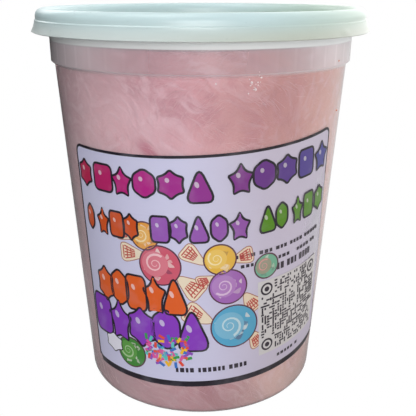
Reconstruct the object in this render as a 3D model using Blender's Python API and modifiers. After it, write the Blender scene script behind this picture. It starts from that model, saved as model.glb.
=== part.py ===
"""A clear tub of cotton candy with its press-on lid and wrapped front label.

Metres, +Z up. The tub stands on the origin, and the label faces -Y.
"""

from math import asin, atan, cos, degrees, pi, radians, sin, sqrt

import bmesh
import bpy

MM = 0.001

# Driving dimensions. A radius is measured from the tub's axis, and a height from its foot.
WALL = 0.6 * MM  # the tub's wall
LID_WALL = 0.7 * MM
GAP = 0.3 * MM  # between pieces that touch

FOOT_RADIUS = 43.9 * MM  # outer wall just above the foot's rounding
FOOT_ROUNDING = 4.0 * MM
FOOT_RING = 3.6 * MM  # width of the flat ring that the tub stands on
FOOT_RECESS = 1.2 * MM

BODY_TOP_RADIUS = 51.8 * MM
BODY_TOP = 120.8 * MM
COLLAR_RADIUS = 53.1 * MM
COLLAR_BOTTOM = 121.9 * MM
COLLAR_TOP_RADIUS = 53.2 * MM
COLLAR_TOP = 129.1 * MM

CREST_RADIUS = 55.0 * MM  # middle of the lid's crest, and of the rim rolled up inside it
CREST_ROUNDING = 2.5 * MM
LID_TOP = 139.3 * MM
RIM_EDGE = 134.8 * MM  # free edge of the rolled rim
SKIRT_STEP = 135.4 * MM
SKIRT_STEP_WIDTH = 0.35 * MM
LIP_RADIUS = 59.1 * MM
LIP_HEIGHT = 131.7 * MM
PANEL_HEIGHT = 129.8 * MM  # top of the lid's sunken panel
PANEL_ROUNDING = 1.0 * MM

LABEL_WIDTH = 101.6 * MM
LABEL_HEIGHT = 84.7 * MM
LABEL_CORNER = 3.0 * MM
LABEL_THICKNESS = 0.3 * MM
LABEL_ACROSS = 3.5 * MM  # from the front line to the label's middle, round the wall
LABEL_UP = 55.5 * MM  # slant height of the label's middle
LABEL_TILT = radians(3.0)
LABEL_COLUMNS = 20
LABEL_ROWS = 12
CORNER_ROWS = 3

STEPS = 48  # facets round a turned piece

CREST_HEIGHT = LID_TOP - CREST_ROUNDING
WALL_SLOPE = (BODY_TOP_RADIUS - FOOT_RADIUS) / (BODY_TOP - FOOT_ROUNDING)
APEX = FOOT_ROUNDING - FOOT_RADIUS / WALL_SLOPE  # height where the body's cone would close
HALF_ANGLE = atan(WALL_SLOPE)


def material(name, colour, roughness, alpha=1.0):
    """A plain Principled material."""
    made = bpy.data.materials.new(name)
    made.use_nodes = True
    shader = made.node_tree.nodes["Principled BSDF"]
    shader.inputs["Base Color"].default_value = (*colour, 1.0)
    shader.inputs["Roughness"].default_value = roughness
    shader.inputs["Metallic"].default_value = 0.0
    shader.inputs["Alpha"].default_value = alpha
    return made


def add_object(name, mesh, finish):
    """A named object in the part's collection."""
    made = bpy.data.objects.new(name, mesh)
    made.data.materials.append(finish)
    bpy.data.collections["cotton_candy_tub"].objects.link(made)
    return made


def arc(radius, height, rounding, start, end, count):
    """Points of an arc about (radius, height). Its angles are in degrees, from the outward side."""
    turns = [radians(start + (end - start) * i / count) for i in range(count + 1)]
    return [(radius + rounding * cos(a), height + rounding * sin(a)) for a in turns]


def turned(name, profile, finish):
    """A profile of (radius, height) points, turned about Z."""
    mesh = bpy.data.meshes.new(name)
    points = [(radius, 0.0, height) for radius, height in profile]
    mesh.from_pydata(points, [(i, i + 1) for i in range(len(points) - 1)], [])
    made = add_object(name, mesh, finish)
    screw = made.modifiers.new("turn", "SCREW")
    screw.steps = screw.render_steps = STEPS
    screw.use_merge_vertices = True
    screw.merge_threshold = 0.00001
    screw.use_smooth_shade = True
    return made


def thicken(made, thickness):
    """Grow a surface backwards into a closed shell."""
    shell = made.modifiers.new("wall", "SOLIDIFY")
    shell.thickness = thickness
    shell.offset = -1.0
    shell.use_even_offset = True
    shell.use_quality_normals = True


def make_tub():
    """The clear cup: rolled rim, collar, tapered wall, and a foot pushed up in the middle."""
    roll = CREST_ROUNDING - LID_WALL - GAP - WALL
    rim = arc(CREST_RADIUS, CREST_HEIGHT, roll, 0, 180, 6)
    neck = CREST_RADIUS - roll
    foot_centre = FOOT_RADIUS - FOOT_ROUNDING
    recess_edge = foot_centre - FOOT_RING
    profile = [(CREST_RADIUS + roll, RIM_EDGE), *rim]
    profile += [(neck, LIP_HEIGHT + 1.6 * MM), (COLLAR_TOP_RADIUS + 0.3 * MM, LIP_HEIGHT - 0.3 * MM)]
    profile += [(COLLAR_TOP_RADIUS, COLLAR_TOP), (COLLAR_RADIUS, COLLAR_BOTTOM)]
    profile += [(BODY_TOP_RADIUS, BODY_TOP)]
    profile += arc(foot_centre, FOOT_ROUNDING, FOOT_ROUNDING, 0, -90, 4)
    profile += [(recess_edge, 0.0), (recess_edge - FOOT_RECESS, FOOT_RECESS), (0.0, FOOT_RECESS)]
    tub = turned("tub", profile, material("clear_plastic", (0.90, 0.92, 0.93), 0.12, 0.3))
    thicken(tub, WALL)


def make_lid():
    """The lid: sunken panel, round crest over the rim, and a skirt that flares to the lip."""
    inner = CREST_RADIUS - CREST_ROUNDING
    outer = CREST_RADIUS + CREST_ROUNDING
    plug = COLLAR_TOP_RADIUS - WALL - GAP - LID_WALL
    profile = [(0.0, PANEL_HEIGHT)]
    profile += arc(plug - PANEL_ROUNDING, PANEL_HEIGHT + PANEL_ROUNDING, PANEL_ROUNDING, -90, 0, 3)
    profile += [(plug, LIP_HEIGHT - 0.3 * MM), (inner, LIP_HEIGHT + 1.6 * MM)]
    profile += arc(CREST_RADIUS, CREST_HEIGHT, CREST_ROUNDING, 180, 0, 8)
    profile += [(outer, SKIRT_STEP + SKIRT_STEP_WIDTH), (outer + SKIRT_STEP_WIDTH, SKIRT_STEP)]
    reach = LIP_RADIUS - outer - SKIRT_STEP_WIDTH
    fall = SKIRT_STEP - LIP_HEIGHT
    for share in (0.5, 0.8, 1.0):
        profile.append((LIP_RADIUS - reach * (1 - share**1.5), SKIRT_STEP - fall * share))
    lid = turned("lid", profile, material("lid_plastic", (0.68, 0.75, 0.76), 0.3, 0.85))
    thicken(lid, LID_WALL)


def make_cotton_candy():
    """The candy, pressed to the shape of the tub's inside and up to the lid."""
    inset = WALL + GAP
    floor = FOOT_RECESS + WALL + GAP
    rounding = FOOT_ROUNDING - inset
    foot_centre = FOOT_RADIUS - FOOT_ROUNDING
    dip = -degrees(asin((FOOT_ROUNDING - floor) / rounding))
    profile = [(0.0, PANEL_HEIGHT - LID_WALL - GAP)]
    profile += [(COLLAR_TOP_RADIUS - inset, PANEL_HEIGHT - LID_WALL - GAP)]
    profile += [(COLLAR_RADIUS - inset, COLLAR_BOTTOM + GAP)]
    profile += [(BODY_TOP_RADIUS - inset, BODY_TOP + GAP)]
    profile += arc(foot_centre, FOOT_ROUNDING, rounding, 0, dip, 3)
    profile += [(0.0, floor)]
    turned("cotton_candy", profile, material("spun_sugar", (0.62, 0.35, 0.39), 0.8))


def label_row(row):
    """Height of a row of the flat label, and half the label's width there."""
    half_height = LABEL_HEIGHT / 2
    middle_rows = LABEL_ROWS - 2 * CORNER_ROWS
    from_end = min(row, LABEL_ROWS - row)
    if from_end >= CORNER_ROWS:
        height = (half_height - LABEL_CORNER) * (2 * (row - CORNER_ROWS) / middle_rows - 1)
        return height, LABEL_WIDTH / 2
    turn = pi / 2 * from_end / CORNER_ROWS
    height = half_height - LABEL_CORNER + LABEL_CORNER * cos(turn)
    half_width = LABEL_WIDTH / 2 - LABEL_CORNER + LABEL_CORNER * sin(turn)
    return (height if row > LABEL_ROWS / 2 else -height), half_width


def on_wall(across, up, proud):
    """A point of the flat label, turned by its tilt and wrapped onto the tub's cone."""
    flat_x = LABEL_ACROSS + across * cos(LABEL_TILT) - up * sin(LABEL_TILT)
    flat_y = LABEL_UP + across * sin(LABEL_TILT) + up * cos(LABEL_TILT)
    flat_y -= APEX / cos(HALF_ANGLE)
    slant = sqrt(flat_x**2 + flat_y**2)
    around = atan(flat_x / flat_y) / sin(HALF_ANGLE)
    height = slant * cos(HALF_ANGLE) + APEX
    radius = slant * sin(HALF_ANGLE) + proud
    return radius * sin(around), -radius * cos(around), height


def make_label():
    """The printed sheet with round corners, laid on the wall."""
    shape = bmesh.new()
    bmesh.ops.create_grid(shape, x_segments=LABEL_COLUMNS, y_segments=LABEL_ROWS, size=0.5)
    for vertex in shape.verts:
        up, half_width = label_row(round((vertex.co.y + 0.5) * LABEL_ROWS))
        vertex.co = on_wall(2 * vertex.co.x * half_width, up, GAP + LABEL_THICKNESS)
    bmesh.ops.recalc_face_normals(shape, faces=shape.faces)
    mesh = bpy.data.meshes.new("label")
    shape.to_mesh(mesh)
    shape.free()
    mesh.shade_smooth()
    label = add_object("label", mesh, material("label_print", (0.48, 0.45, 0.60), 0.4))
    thicken(label, LABEL_THICKNESS)


def main():
    """Clear the scene and make the four pieces."""
    for old in list(bpy.data.objects):
        bpy.data.objects.remove(old)
    collection = bpy.data.collections.new("cotton_candy_tub")
    bpy.context.scene.collection.children.link(collection)
    make_tub()
    make_lid()
    make_cotton_candy()
    make_label()


main()
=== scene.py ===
# %% [markdown]
# # A clear tub of cotton candy
#
# This lesson rebuilds the looks of a one-litre deli tub packed with pink spun sugar. The CAD model
# gives every size and place. Here each of its four plain solids gets a finer piece that stands for
# it: the clear tub, the milky lid, the candy with its fibres, and the printed label.

# %% Load the fixed frame
from math import asin, atan, cos, degrees, pi, radians, sin, sqrt, tan
from random import Random

import bpy
from mathutils import Matrix, Vector, noise


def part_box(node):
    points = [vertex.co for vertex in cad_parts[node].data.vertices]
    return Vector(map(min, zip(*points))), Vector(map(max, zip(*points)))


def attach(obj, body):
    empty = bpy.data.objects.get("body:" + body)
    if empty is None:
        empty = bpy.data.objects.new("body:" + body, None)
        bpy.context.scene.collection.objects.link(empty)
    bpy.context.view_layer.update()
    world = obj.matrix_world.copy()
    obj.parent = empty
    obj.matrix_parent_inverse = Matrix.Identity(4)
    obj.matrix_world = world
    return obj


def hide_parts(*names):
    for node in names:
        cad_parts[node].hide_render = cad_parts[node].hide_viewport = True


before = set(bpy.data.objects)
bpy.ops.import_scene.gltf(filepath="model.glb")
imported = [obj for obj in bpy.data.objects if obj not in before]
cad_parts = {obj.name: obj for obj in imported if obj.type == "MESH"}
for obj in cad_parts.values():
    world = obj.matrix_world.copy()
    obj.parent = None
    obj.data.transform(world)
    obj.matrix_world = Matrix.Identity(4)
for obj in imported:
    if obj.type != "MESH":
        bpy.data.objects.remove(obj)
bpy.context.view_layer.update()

MM = 0.001
tub_low, tub_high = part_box("tub")
lid_low, lid_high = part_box("lid")
print("tub is", round(tub_high[2] / MM, 1), "mm high; lid is", round(2 * lid_high[0] / MM, 1), "mm wide")

# %% [markdown]
# ## The camera
#
# The camera stands a quarter of a metre in front, just above the lid, and looks down by 18 degrees,
# so the rings of the lid show as flat ovals and the wall narrows towards the foot.

# %% Make the camera
CAMERA_DISTANCE = 249.8 * MM
CAMERA_HEIGHT = tub_high[2] + 8.2 * MM
CAMERA_DOWN = 18.27
lens = bpy.data.cameras.new("camera")
lens.lens = 58.4
lens.sensor_width = 36.0
lens.shift_x = 0.018
lens.clip_start = 0.01
camera = bpy.data.objects.new("camera", lens)
camera.location = (0.0, -CAMERA_DISTANCE, CAMERA_HEIGHT)
camera.rotation_euler = (radians(90 - CAMERA_DOWN), 0.0, 0.0)
bpy.context.scene.collection.objects.link(camera)
bpy.context.scene.camera = camera
print("camera is", round(CAMERA_HEIGHT / MM, 1), "mm above the floor")

# %% [markdown]
# ## Shader sums as Python
#
# A finish is a net of nodes. Writing it as sums keeps it short: a wire is an output of a node, and
# adding or multiplying wires adds the Math nodes. Every other node comes from one method.


# %% Wires and finishes
class Wire:
    """An output of a node, which can stand in a sum."""

    def __init__(self, finish, socket):
        self.finish, self.socket = finish, socket

    def maths(self, operation, *values):
        return self.finish.node("ShaderNodeMath", {"operation": operation}, dict(enumerate(values)))

    def __add__(self, other):
        return self.maths("ADD", self, other)

    def __radd__(self, other):
        return self.maths("ADD", other, self)

    def __sub__(self, other):
        return self.maths("SUBTRACT", self, other)

    def __rsub__(self, other):
        return self.maths("SUBTRACT", other, self)

    def __mul__(self, other):
        return self.maths("MULTIPLY", self, other)

    def __rmul__(self, other):
        return self.maths("MULTIPLY", other, self)

    def __truediv__(self, other):
        return self.maths("DIVIDE", self, other)

    def __abs__(self):
        return self.maths("ABSOLUTE", self)


class Finish:
    """A material or a world whose nodes are being laid."""

    def __init__(self, owner, output="ShaderNodeOutputMaterial"):
        owner.use_nodes = True
        self.owner, self.tree = owner, owner.node_tree
        self.tree.nodes.clear()
        self.end = self.tree.nodes.new(output)

    def node(self, kind, settings=None, sockets=None, output=0):
        """Add a node: its settings come first, then the values or wires of its sockets."""
        made = self.tree.nodes.new(kind)
        for name, value in (settings or {}).items():
            if name == "stops":
                ramp = made.color_ramp
                while len(ramp.elements) < len(value):
                    ramp.elements.new(1.0)
                for element, (position, colour) in zip(ramp.elements, value):
                    element.position, element.color = position, colour
            else:
                setattr(made, name, value)
        for name, value in (sockets or {}).items():
            if isinstance(value, Wire):
                self.tree.links.new(value.socket, made.inputs[name])
            elif isinstance(value, tuple) and len(value) == 3 and made.inputs[name].type == "RGBA":
                made.inputs[name].default_value = (*value, 1.0)
            else:
                made.inputs[name].default_value = value
        return Wire(self, made.outputs[output])

    def finish(self, shader):
        self.tree.links.new(shader.socket, self.end.inputs["Surface"])
        return self.owner

    def place(self):
        return self.node("ShaderNodeTexCoord", output="Object")

    def axis(self, vector, letter):
        return self.node("ShaderNodeSeparateXYZ", None, {0: vector}, letter)

    def stretched(self, vector, scale, turn=(0.0, 0.0, 0.0)):
        """Draw a pattern out along its axes, and then turn it."""
        return self.node("ShaderNodeMapping", {"vector_type": "TEXTURE"}, {
            "Vector": vector, "Rotation": turn, "Scale": scale})

    def noise(self, vector, scale, detail=3.0, roughness=0.5, distortion=0.0):
        return self.node("ShaderNodeTexNoise", None, {
            "Vector": vector, "Scale": scale, "Detail": detail,
            "Roughness": roughness, "Distortion": distortion})

    def ramped(self, value, low, high, start=0.0, end=1.0):
        """A smooth step from start to end as the value goes from low to high."""
        return self.node("ShaderNodeMapRange", {"interpolation_type": "SMOOTHSTEP"}, {
            "Value": value, "From Min": low, "From Max": high, "To Min": start, "To Max": end})

    def mixed(self, factor, first, second):
        """A colour between two colours."""
        return self.node("ShaderNodeMix", {"data_type": "RGBA"}, {0: factor, 6: first, 7: second}, 2)

    def bump(self, height, distance, strength=1.0):
        return self.node("ShaderNodeBump", None, {
            "Height": height, "Distance": distance, "Strength": strength})


def new_finish(name):
    return Finish(bpy.data.materials.new(name))


def linear(red, green, blue):
    """A screen colour, 0 to 255, as the light it stands for."""
    def light(value):
        value /= 255
        return value / 12.92 if value <= 0.04045 else ((value + 0.055) / 1.055) ** 2.4
    return light(red), light(green), light(blue)


print("a screen grey of 188 is", round(linear(188, 188, 188)[0], 2), "of full light")

# %% [markdown]
# ## Hands at the bench
#
# Operators act on whatever is selected, and the CAD nodes come in selected. So every step starts with
# nothing selected, and a helper then selects points by where they are.


# %% Small helpers
def deselect():
    """Leave edit mode with nothing selected."""
    if bpy.context.object and bpy.context.object.mode != "OBJECT":
        bpy.ops.object.mode_set(mode="OBJECT")
    bpy.ops.object.select_all(action="DESELECT")


def pick(piece):
    """Select one piece and make it active."""
    deselect()
    piece.select_set(True)
    bpy.context.view_layer.objects.active = piece
    return piece


def pick_points(piece, wanted):
    """Go into edit mode with just the wanted points selected."""
    pick(piece)
    bpy.ops.object.mode_set(mode="EDIT")
    bpy.ops.mesh.select_mode(type="VERT")
    bpy.ops.mesh.select_all(action="DESELECT")
    bpy.ops.object.mode_set(mode="OBJECT")
    count = 0
    for vertex in piece.data.vertices:
        vertex.select = wanted(vertex.co)
        count += vertex.select
    bpy.ops.object.mode_set(mode="EDIT")
    return count


def put_together(pieces, name):
    """Join pieces into one and name it."""
    deselect()
    for piece in pieces:
        piece.select_set(True)
    bpy.context.view_layer.objects.active = pieces[0]
    if len(pieces) > 1:
        bpy.ops.object.join()
    made = bpy.context.view_layer.objects.active
    made.name = made.data.name = name
    return made


def modify(piece, kind, **settings):
    """Add a modifier, set it and apply it."""
    pick(piece)
    bpy.ops.object.modifier_add(type=kind)
    modifier = piece.modifiers[-1]
    for name, value in settings.items():
        setattr(modifier, name, value)
    bpy.ops.object.modifier_apply(modifier=modifier.name)


def dress(piece, finish, stands_for=None):
    """Give a piece its finish, hang it on the root body, and hide the CAD node that it stands for."""
    piece.data.materials.clear()
    piece.data.materials.append(finish)
    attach(piece, "root")
    if stands_for:
        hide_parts(stands_for)
    triangles = sum(len(face.vertices) - 2 for face in piece.data.polygons)
    print(piece.name, "has", triangles, "triangles")


# %% [markdown]
# ## Turned pieces
#
# The tub, the lid and the candy are all round, so each is a line of points drawn up its side and spun
# about the middle. The corners of such a line are rounded first, because moulded plastic never has a
# sharp corner and the small rounds catch the light.


# %% Draw and spin a profile
def arc(radius, height, rounding, start, end, count):
    """Points of an arc about (radius, height), with angles in degrees from the outward side."""
    turns = [radians(start + (end - start) * i / count) for i in range(count + 1)]
    return [(radius + rounding * cos(turn), height + rounding * sin(turn)) for turn in turns]


def rounded(corners, count=4):
    """Round each (radius, height, rounding) corner of a line."""
    points = [corners[0][:2]]
    for before, corner, after in zip(corners, corners[1:], corners[2:]):
        middle = Vector(corner[:2])
        if corner[2] == 0.0:
            points.append(corner[:2])
            continue
        back = (Vector(before[:2]) - middle).normalized()
        on = (Vector(after[:2]) - middle).normalized()
        half = back.angle(on) / 2
        first = middle + back * (corner[2] / tan(half))
        last = middle + on * (corner[2] / tan(half))
        centre = middle + (back + on).normalized() * (corner[2] / sin(half))
        for step in range(count + 1):
            spoke = (first - centre).slerp(last - centre, step / count)
            points.append(tuple(centre + spoke * corner[2]))
    points.append(corners[-1][:2])
    return points


def turned(name, profile, columns, outside_at):
    """Draw a line of (radius, height) points in millimetres from one vertex, and spin it about Z.

    outside_at is a height where the outermost face must look outwards.
    """
    deselect()
    bpy.ops.mesh.primitive_plane_add(size=1.0, location=(0.0, 0.0, 0.0))
    piece = bpy.context.object
    piece.name = piece.data.name = name
    bpy.ops.object.mode_set(mode="EDIT")
    bpy.ops.mesh.select_mode(type="VERT")
    bpy.ops.mesh.select_all(action="SELECT")
    bpy.ops.mesh.merge(type="CENTER")
    radius, height = profile[0]
    bpy.ops.transform.translate(value=(radius * MM, 0.0, height * MM))
    for (radius, height), (next_radius, next_height) in zip(profile, profile[1:]):
        step = ((next_radius - radius) * MM, 0.0, (next_height - height) * MM)
        bpy.ops.mesh.extrude_region_move(TRANSFORM_OT_translate={"value": step})
    bpy.ops.mesh.select_all(action="SELECT")
    bpy.ops.mesh.spin(steps=columns, angle=2 * pi, center=(0.0, 0.0, 0.0), axis=(0.0, 0.0, 1.0))
    bpy.ops.mesh.select_all(action="SELECT")
    bpy.ops.mesh.remove_doubles(threshold=0.002 * MM)
    bpy.ops.mesh.normals_make_consistent(inside=False)
    bpy.ops.object.mode_set(mode="OBJECT")
    widest = max(piece.data.polygons, key=lambda face: face.center.x)
    level = min(abs(face.center.z - outside_at * MM) for face in piece.data.polygons) + 0.6 * MM
    judged = max((face for face in piece.data.polygons if abs(face.center.z - outside_at * MM) <= level),
                 key=lambda face: face.center.x)
    if judged.normal.x < 0:
        bpy.ops.object.mode_set(mode="EDIT")
        bpy.ops.mesh.flip_normals()
        bpy.ops.object.mode_set(mode="OBJECT")
    print(name, "is", round(2 * widest.center.x / MM, 1), "mm wide, with", len(profile), "rings")
    return piece


# %% [markdown]
# ## The clear tub
#
# The real tub is moulded in one piece: a rim rolled inside the lid, an upright collar with fifty fine
# grip flutes, a slanted shoulder, a long tapered wall, and a rounded foot that is pushed up in the
# middle. One spun line gives it all. The flutes are made after the spin: every eighth column of the
# collar is drawn in by a few hundredths of a millimetre, and then the wall gets its thickness.

# %% Sizes of the tub
WALL = 0.6
LID_WALL = 0.7
GAP = 0.3
FOOT_RADIUS, FOOT_ROUNDING, FOOT_RING, FOOT_RECESS = 43.9, 4.0, 3.6, 1.2
BODY_TOP_RADIUS, BODY_TOP = 51.8, 120.8
COLLAR_RADIUS, COLLAR_BOTTOM = 53.1, 121.9
COLLAR_TOP_RADIUS, COLLAR_TOP = 53.2, 129.1
CREST_RADIUS, CREST_ROUNDING, LID_TOP = 55.0, 2.5, 139.3
RIM_EDGE = 134.8
SKIRT_STEP, SKIRT_STEP_WIDTH = 135.4, 0.35
LIP_RADIUS, LIP_HEIGHT = 59.1, 131.7
PANEL_HEIGHT, PANEL_ROUNDING = 129.8, 1.0
CREST_HEIGHT = LID_TOP - CREST_ROUNDING
WALL_SLOPE = (BODY_TOP_RADIUS - FOOT_RADIUS) / (BODY_TOP - FOOT_ROUNDING)
APEX = FOOT_ROUNDING - FOOT_RADIUS / WALL_SLOPE
HALF_ANGLE = atan(WALL_SLOPE)
FLUTES = 50
COLUMNS = 8 * FLUTES
FLUTE_DEPTH = 0.03
FLUTE_LOW, FLUTE_HIGH = 122.4, 128.7
print("the wall leans out by", round(degrees(HALF_ANGLE), 2), "degrees")

# %% Spin the tub
roll = CREST_ROUNDING - LID_WALL - GAP - WALL
foot_centre = FOOT_RADIUS - FOOT_ROUNDING
recess_edge = foot_centre - FOOT_RING
rim = [(CREST_RADIUS + roll, RIM_EDGE), *arc(CREST_RADIUS, CREST_HEIGHT, roll, 0, 180, 8)]
side = rounded([
    (CREST_RADIUS - roll, CREST_HEIGHT - 0.1, 0.0),
    (CREST_RADIUS - roll, LIP_HEIGHT + 1.6, 0.6),
    (COLLAR_TOP_RADIUS + 0.3, LIP_HEIGHT - 0.3, 0.8),
    (COLLAR_TOP_RADIUS, COLLAR_TOP, 0.0),
    (COLLAR_TOP_RADIUS, FLUTE_HIGH, 0.0),
    (COLLAR_TOP_RADIUS, FLUTE_HIGH - 0.3, 0.0),
    (COLLAR_RADIUS, FLUTE_LOW + 0.3, 0.0),
    (COLLAR_RADIUS, FLUTE_LOW, 0.0),
    (COLLAR_RADIUS, COLLAR_BOTTOM, 0.25),
    (BODY_TOP_RADIUS, BODY_TOP, 0.35),
    *[(FOOT_RADIUS + (height - FOOT_ROUNDING) * WALL_SLOPE, height, 0.0)
      for height in (119, 115, 60, 10, 6)],
    (FOOT_RADIUS, FOOT_ROUNDING, 0.0),
])
foot = arc(foot_centre, FOOT_ROUNDING, FOOT_ROUNDING, 0, -90, 10)[1:]
under = rounded([
    (foot_centre - 1, 0.0, 0.0),
    (recess_edge, 0.0, 0.5),
    (recess_edge - FOOT_RECESS, FOOT_RECESS, 0.5),
    (recess_edge - FOOT_RECESS - 2, FOOT_RECESS, 0.0),
])
tub = turned("tub_shell", rim + side + foot + under + [(0.0, FOOT_RECESS)], COLUMNS, 60.0)


# %% Draw in the flutes and thicken the wall
def on_flute(point):
    """Whether a point of the collar lies on a flute."""
    if not FLUTE_LOW + 0.2 < point.z / MM < FLUTE_HIGH - 0.2:
        return False
    turn = degrees(Vector((1.0, 0.0)).angle_signed(Vector(point.xy)))
    return abs((turn + 180 / FLUTES) % (360 / FLUTES) - 180 / FLUTES) < 0.1


moved = pick_points(tub, on_flute)
shrink = 1 - FLUTE_DEPTH / COLLAR_RADIUS
bpy.ops.transform.resize(value=(shrink, shrink, 1.0), center_override=(0.0, 0.0, 0.0))
bpy.ops.object.mode_set(mode="OBJECT")
modify(tub, "SOLIDIFY", thickness=WALL * MM, offset=-1.0,
       use_even_offset=True, use_quality_normals=True)
bpy.ops.object.shade_smooth_by_angle(angle=radians(35))
print(moved, "points of the collar are drawn in for", FLUTES, "flutes")

# %% [markdown]
# ## The finish of the tub
#
# Thin clear plastic hardly bends light, so it needs no real glass: it lets light straight through,
# adds a little milky haze, and mirrors its surroundings more as it turns away. That rise is written
# from the facing angle, because the Fresnel node turns into a full mirror for light on its way out
# of the tub and would leave the candy's sides dark. The collar is hazier, most of all where it turns
# away, and its flutes are faint lines. Under the lip the haze is thicker and whiter: partly the lid's
# plug that lies behind the wall, and partly painted light for what the milky lid lets through. Haze
# and mirror are factors of Mix Shaders, which the export reads.

# %% Clear plastic
clear = new_finish("clear_plastic")
place = clear.place()
across, depth, height = (clear.axis(place, letter) for letter in "XYZ")
collar = clear.ramped(height, (COLLAR_BOTTOM - 1.4) * MM, (COLLAR_BOTTOM + 0.4) * MM)
flute_zone = (clear.ramped(height, (FLUTE_LOW - 0.2) * MM, (FLUTE_LOW + 0.2) * MM)
              * clear.ramped(height, (FLUTE_HIGH - 0.2) * MM, (FLUTE_HIGH + 0.2) * MM, 1.0, 0.0))
turn = across.maths("ARCTAN2", depth, across) * (FLUTES / (2 * pi))
off_flute = abs(turn - turn.maths("ROUND", turn))
flute = clear.ramped(off_flute, 0.03, 0.12, 1.0, 0.0) * flute_zone
streaks = clear.noise(clear.stretched(place, (1.0, 1.0, 4.0)), 60.0, 3.0)
facing = clear.node("ShaderNodeLayerWeight", None, {"Blend": 0.5}, "Facing")
# The band under the lip: partly the lid's plug behind the wall, partly painted light let through by the lid.
under_lip_plug_and_painted_light = clear.ramped(height, (COLLAR_TOP - 0.3) * MM, COLLAR_TOP * MM)
haze = (0.05 + collar * 0.29 + collar * facing * 0.36 + under_lip_plug_and_painted_light * 0.30
        + flute * (facing * 0.12) + streaks * 0.05)
milk_tone = clear.mixed(clear.ramped(facing, 0.0, 0.5), linear(200, 183, 189), linear(244, 238, 243))
# Whiter under the lip: partly the plug behind, partly painted light.
milk = clear.node("ShaderNodeBsdfPrincipled", None, {
    "Base Color": clear.mixed(under_lip_plug_and_painted_light, milk_tone, linear(244, 246, 246)),
    "Roughness": 0.5})
through = clear.node("ShaderNodeBsdfTransparent", None, {"Color": (0.97, 0.975, 0.98)})
scratches = clear.noise(clear.stretched(place, (1.0, 1.0, 0.4)), 400.0, 4.0)
gloss = clear.node("ShaderNodeBsdfGlossy", None, {
    "Color": (1.0, 1.0, 1.0), "Roughness": 0.08 + scratches * 0.06})
wall_body = clear.node("ShaderNodeMixShader", None, {0: haze, 1: through, 2: milk})
mirror = 0.05 + facing.maths("POWER", facing, 3.0) * 0.85
clear_plastic = clear.finish(clear.node(
    "ShaderNodeMixShader", None, {0: mirror, 1: wall_body, 2: gloss}))
dress(tub, clear_plastic, "tub")

# %% [markdown]
# ## The lid
#
# The lid is a second, milkier moulding: a sunken panel, a plug that grips the collar from inside, a
# round crest over the rim, and a skirt that flares out to a thin lip. It is spun like the tub. The
# mould's gate leaves one small swelling on the skirt, which is pushed out point by point.

# %% Spin the lid
inner_crest = CREST_RADIUS - CREST_ROUNDING
outer_crest = CREST_RADIUS + CREST_ROUNDING
plug = COLLAR_TOP_RADIUS - WALL - GAP - LID_WALL
reach = LIP_RADIUS - outer_crest - SKIRT_STEP_WIDTH
fall = SKIRT_STEP - LIP_HEIGHT
panel = rounded([
    (0.0, PANEL_HEIGHT, 0.0),
    (plug, PANEL_HEIGHT, PANEL_ROUNDING),
    (plug, LIP_HEIGHT - 0.3, 0.8),
    (inner_crest, LIP_HEIGHT + 1.6, 0.8),
    (inner_crest, CREST_HEIGHT, 0.0),
])
crest = arc(CREST_RADIUS, CREST_HEIGHT, CREST_ROUNDING, 180, 0, 16)[1:]
step = rounded([
    (outer_crest, CREST_HEIGHT - 0.1, 0.0),
    (outer_crest, SKIRT_STEP + SKIRT_STEP_WIDTH, 0.12),
    (outer_crest + SKIRT_STEP_WIDTH, SKIRT_STEP, 0.12),
    (outer_crest + SKIRT_STEP_WIDTH, SKIRT_STEP - 0.3, 0.0),
])
flare = []
for i in range(1, 9):
    share = 0.08 + 0.92 * i / 8
    flare.append((LIP_RADIUS - reach * (1 - share**1.5), SKIRT_STEP - fall * share))
lid = turned("lid_shell", panel + crest + step + flare, 240, LIP_HEIGHT)
modify(lid, "SOLIDIFY", thickness=LID_WALL * MM, offset=-1.0,
       use_even_offset=True, use_quality_normals=True)
bpy.ops.object.shade_smooth_by_angle(angle=radians(40))

# %% Push out the gate's swelling
GATE_TURN, GATE_HEIGHT = 49.0, LIP_HEIGHT + 1.2
gate = Vector((LIP_RADIUS * sin(radians(GATE_TURN)), -LIP_RADIUS * cos(radians(GATE_TURN)), GATE_HEIGHT))
swollen = 0
for vertex in lid.data.vertices:
    spot = vertex.co / MM
    off = Vector(((spot.xy - gate.xy).length / 3.4, (spot.z - GATE_HEIGHT) / 1.2))
    if off.length < 1 and spot.xy.length > outer_crest:
        push = 0.45 * (1 - off.length**2) ** 2
        limit = LIP_RADIUS - 0.02 - spot.xy.length
        vertex.co.xy *= 1 + min(push, max(limit, 0.0)) / spot.xy.length
        swollen += 1
print(swollen, "points make the gate's swelling")

# %% [markdown]
# ## The finish of the lid
#
# The lid's plastic is milky: most light scatters inside it and some passes, so the collar under its
# skirt stays bright. A little subsurface light and a thin mix of a transparent shader do that. Fine
# noise in the roughness breaks up the shine.

# %% Milky plastic
milky = new_finish("lid_plastic")
place = milky.place()
cloud = milky.noise(place, 30.0, 3.0)
grain = milky.noise(place, 900.0, 2.0)
low_part = milky.ramped(milky.axis(place, "Z"), LIP_HEIGHT * MM, (CREST_HEIGHT + 1) * MM, 1.0, 0.0)
across = milky.axis(place, "X")
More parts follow.
